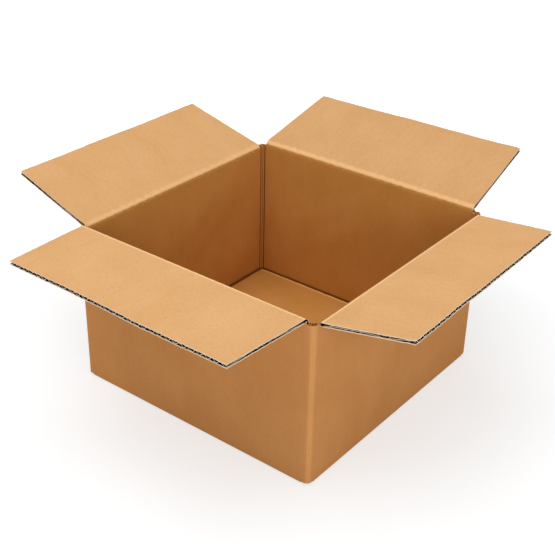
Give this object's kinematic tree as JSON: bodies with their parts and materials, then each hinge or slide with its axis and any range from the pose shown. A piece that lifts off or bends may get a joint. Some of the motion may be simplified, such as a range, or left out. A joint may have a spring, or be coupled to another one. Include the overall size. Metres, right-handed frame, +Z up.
{
  "type": "open cardboard box",
  "caption": "Open corrugated cardboard carton: folded walls and closed bottom in one sheet, top flaps hinged at their scores.",
  "frame": {"origin": "middle of the underside, on the surface that the box stands on", "axes": "+Z up out of the open top, -Y towards the front wall, +X towards the right wall"},
  "size_m": [0.4279, 0.4403, 0.1886],
  "materials": {
    "kraft_board": "matt brown kraft liner"
  },
  "bodies": {
    "box": {"box_body": "kraft_board"},
    "front_flap": {"flap_front": "kraft_board"},
    "back_flap": {"flap_back": "kraft_board"},
    "left_flap": {"flap_left": "kraft_board"},
    "right_flap": {"flap_right": "kraft_board"}
  },
  "joints": [
    {"name": "front_fold", "type": "hinge", "parent": "box", "child": "front_flap", "pos_m": [0, -0.129, 0.158], "axis": [-1, 0, 0], "range_deg": [-47.5, 177.5]},
    {"name": "back_fold", "type": "hinge", "parent": "box", "child": "back_flap", "pos_m": [0, 0.129, 0.158], "axis": [1, 0, 0], "range_deg": [-62, 163]},
    {"name": "left_fold", "type": "hinge", "parent": "box", "child": "left_flap", "pos_m": [-0.129, 0, 0.1537], "axis": [0, 1, 0], "range_deg": [-60, 165]},
    {"name": "right_fold", "type": "hinge", "parent": "box", "child": "right_flap", "pos_m": [0.129, 0, 0.1537], "axis": [0, -1, 0], "range_deg": [-52, 173]}
  ]
}
